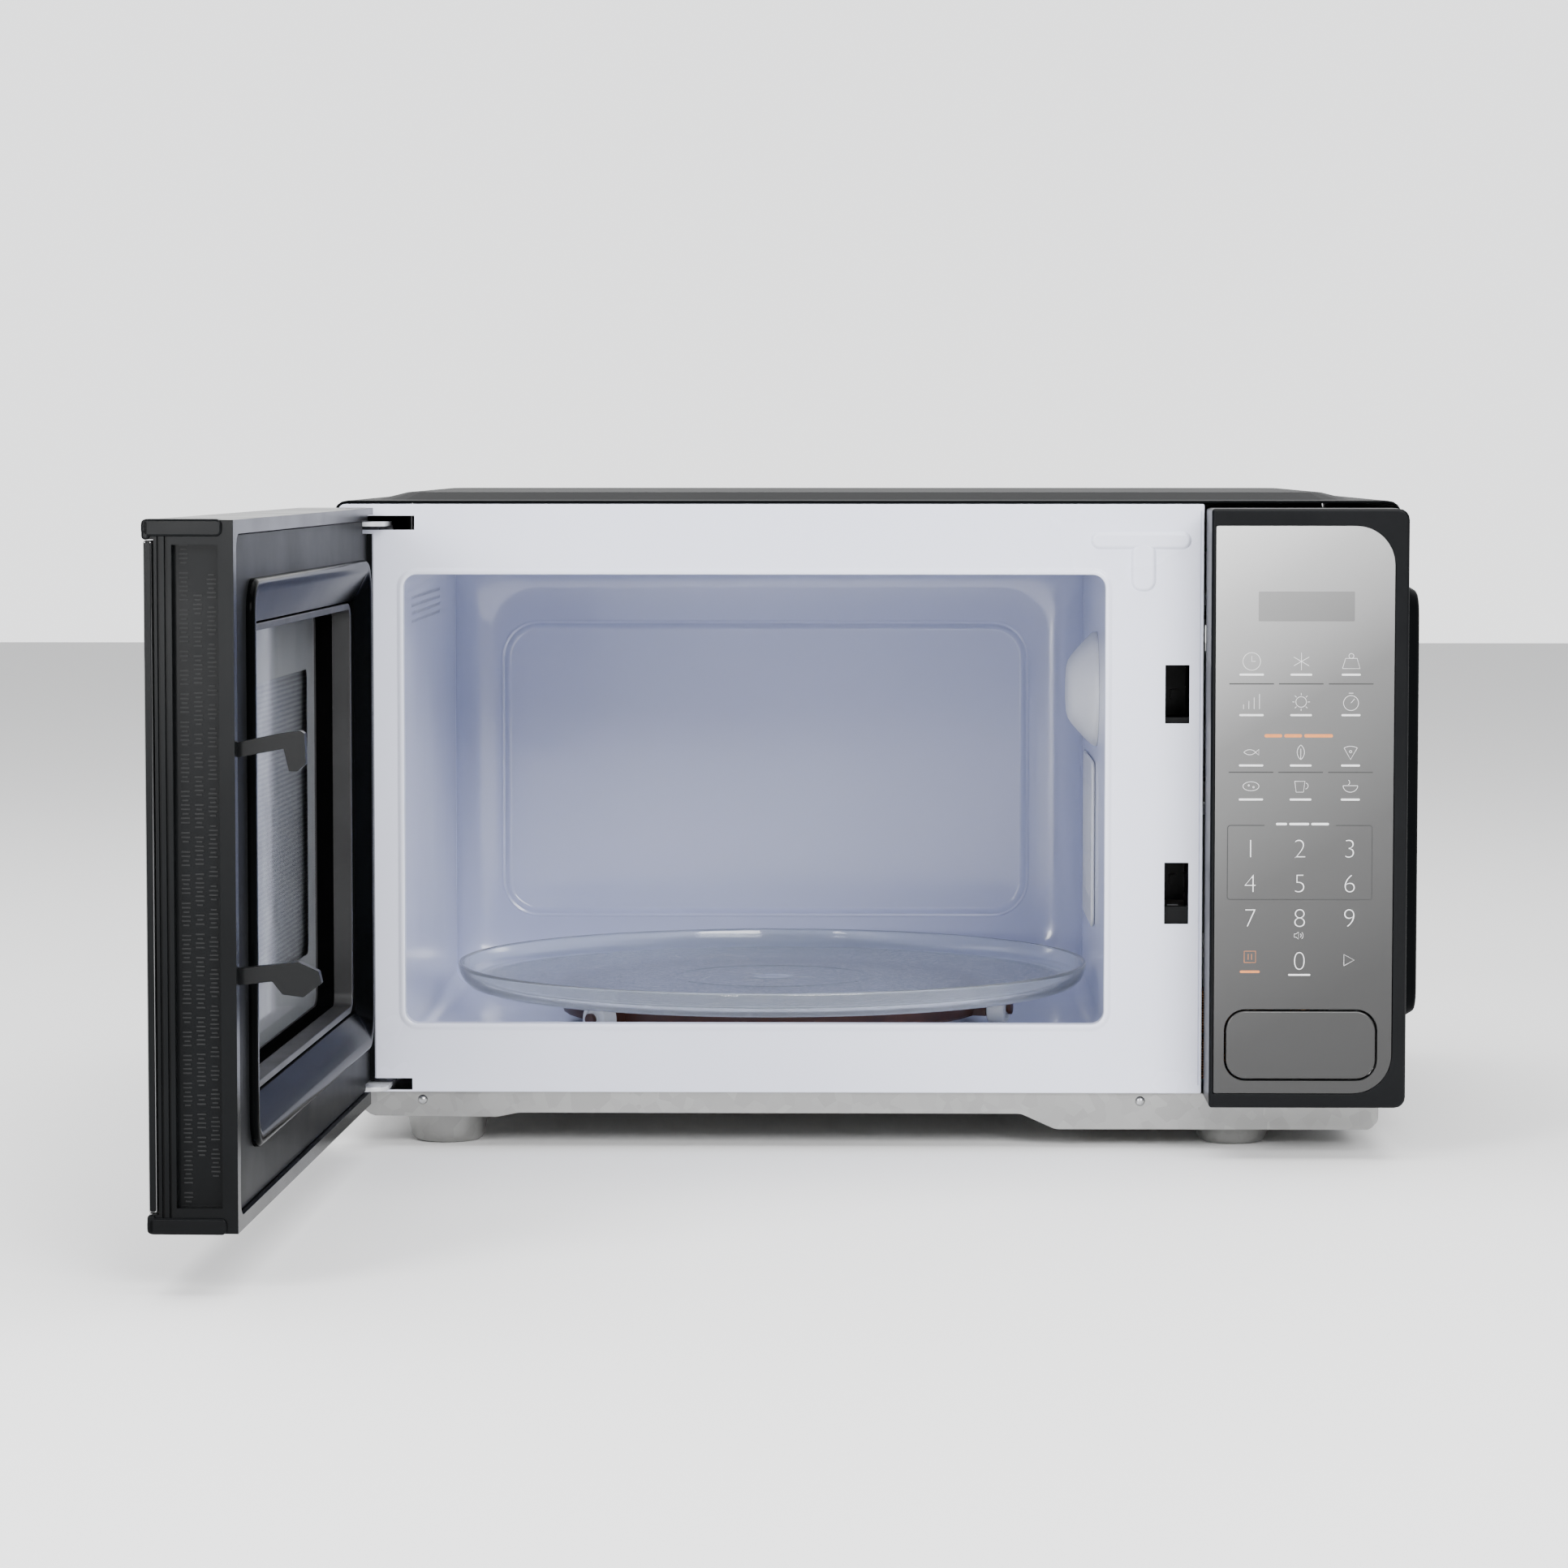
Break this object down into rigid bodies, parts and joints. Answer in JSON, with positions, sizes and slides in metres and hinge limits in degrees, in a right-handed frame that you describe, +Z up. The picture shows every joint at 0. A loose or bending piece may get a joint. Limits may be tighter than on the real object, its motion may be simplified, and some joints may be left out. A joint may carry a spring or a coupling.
{
  "type": "microwave oven",
  "caption": "Countertop microwave oven with its side-hinged door open, a glass turntable inside and a keypad column on the right.",
  "frame": {"origin": "on the surface it stands on, at the centre of its bounding box with the door open as stored", "axes": "+Z up, front faces -Y, +X to the right as seen from the front"},
  "size_m": [0.5364, 0.7792, 0.3041],
  "materials": {
    "case_paint": "smooth black powder paint with a low sheen",
    "gloss_black": "moulded black plastic, glossy",
    "satin_black": "moulded black plastic, satin",
    "choke_paint": "black painted sheet steel",
    "enamel": "white cavity enamel with a faint lavender cast, semi-gloss",
    "galvanised": "bare galvanised sheet, dull grey",
    "panel_silver": "printed silver gradient under a clear film",
    "door_mirror": "silvered dark glass panel",
    "steel": "plated steel",
    "screen_steel": "finely perforated dark sheet",
    "copper": "enamelled copper wire",
    "white_plastic": "moulded white plastic",
    "ring_plastic": "dark brown heat-proof plastic",
    "tray_glass": "clear pressed glass, pebbled ring",
    "lamp_glass": "clear lamp glass",
    "window_film": "grey clear film",
    "display_lens": "smoked flat lens",
    "board": "green circuit board"
  },
  "bodies": {
    "cabinet": {"outer_case": "case_paint", "back_panel": "galvanised", "case_screw_1": "steel", "case_screw_2": "steel", "case_screw_3": "steel", "case_screw_4": "steel", "base_pan": "galvanised", "face_frame": "enamel", "cavity_wrapper": "enamel", "cavity_floor": "enamel", "cavity_back": "enamel", "antenna_cover": "white_plastic", "side_vent_cover": "white_plastic", "control_panel_bezel": "satin_black", "control_panel_face": "panel_silver", "display_window": "display_lens", "display_module": "satin_black", "control_board": "board", "latch_board": "satin_black", "primary_switch": "satin_black", "secondary_switch": "satin_black", "monitor_switch": "satin_black", "magnetron": "steel", "air_duct": "satin_black", "transformer_core": "steel", "primary_winding": "copper", "secondary_winding": "copper", "capacitor": "steel", "diode": "satin_black", "fan_shroud": "white_plastic", "fan_motor": "steel", "lamp_holder": "white_plastic", "lamp_bulb": "lamp_glass", "filter_board": "board", "thermal_cutout": "steel", "cord_gland": "satin_black", "turntable_motor": "steel", "upper_hinge_plate": "steel", "lower_hinge_plate": "steel"},
    "door": {"door_frame": "gloss_black", "door_glass": "door_mirror", "door_choke_frame": "choke_paint", "door_screen": "screen_steel", "door_film": "window_film", "door_inner_cover": "gloss_black"},
    "latch": {"latch_bar": "satin_black", "latch_spring": "steel"},
    "open_button": {"open_button": "panel_silver"},
    "release_lever": {"release_lever": "white_plastic"},
    "drive_coupler": {"drive_coupler": "white_plastic"},
    "glass_tray": {"glass_tray": "tray_glass"},
    "roller_ring": {"roller_ring": "ring_plastic"},
    "roller_wheel_1": {"roller_wheel_1": "white_plastic"},
    "roller_wheel_2": {"roller_wheel_2": "white_plastic"},
    "roller_wheel_3": {"roller_wheel_3": "white_plastic"},
    "fan_blade": {"fan_blade": "white_plastic"}
  },
  "joints": [
    {"name": "door_hinge", "type": "hinge", "parent": "cabinet", "child": "door", "pos_m": [-0.2296, 0.0016, 0.16], "axis": [0, 0, 1], "range_deg": [-8, 92]},
    {"name": "latch_slide", "type": "slide", "parent": "door", "child": "latch", "axis": [0, 0, 1], "range_m": [0, 0.005], "stiffness_N_per_m": 300, "springref_m": -0.005, "deforming": ["latch_spring"]},
    {"name": "button_press", "type": "slide", "parent": "cabinet", "child": "open_button", "axis": [0, 1, 0], "range_m": [0, 0.005], "stiffness_N_per_m": 500, "springref_m": -0.002},
    {"name": "lever_turn", "type": "hinge", "parent": "cabinet", "child": "release_lever", "pos_m": [0.1747, 0.0296, 0.096], "axis": [1, 0, 0], "range_deg": [0, 16]},
    {"name": "coupler_turn", "type": "hinge", "parent": "cabinet", "child": "drive_coupler", "pos_m": [-0.0403, 0.1986, 0.048], "axis": [0, 0, 1], "continuous": true},
    {"name": "tray_lift", "type": "slide", "parent": "drive_coupler", "child": "glass_tray", "axis": [0, 0, 1], "range_m": [0, 0.04]},
    {"name": "ring_turn", "type": "hinge", "parent": "cabinet", "child": "roller_ring", "pos_m": [-0.0403, 0.1986, 0.048], "axis": [0, 0, 1], "continuous": true},
    {"name": "fan_turn", "type": "hinge", "parent": "cabinet", "child": "fan_blade", "pos_m": [0.1887, 0.3426, 0.19], "axis": [0, 1, 0], "continuous": true},
    {"name": "wheel_turn_1", "type": "hinge", "parent": "roller_ring", "child": "roller_wheel_1", "pos_m": [-0.12268, 0.11622, 0.0483], "axis": [-0.7071, -0.7071, 0], "continuous": true},
    {"name": "wheel_turn_2", "type": "hinge", "parent": "roller_ring", "child": "roller_wheel_2", "pos_m": [0.07223, 0.16845, 0.0483], "axis": [0.9659, -0.2588, 0], "continuous": true},
    {"name": "wheel_turn_3", "type": "hinge", "parent": "roller_ring", "child": "roller_wheel_3", "pos_m": [-0.07045, 0.31113, 0.0483], "axis": [-0.2588, 0.9659, 0], "continuous": true}
  ],
  "couplings": [
    {"joint": "lever_turn", "follows": "button_press", "rad_per_m": 55.5},
    {"joint": "ring_turn", "follows": "coupler_turn", "ratio": 0.5},
    {"joint": "wheel_turn_1", "follows": "coupler_turn", "ratio": -7.2812},
    {"joint": "wheel_turn_2", "follows": "coupler_turn", "ratio": -7.2812},
    {"joint": "wheel_turn_3", "follows": "coupler_turn", "ratio": -7.2812}
  ]
}
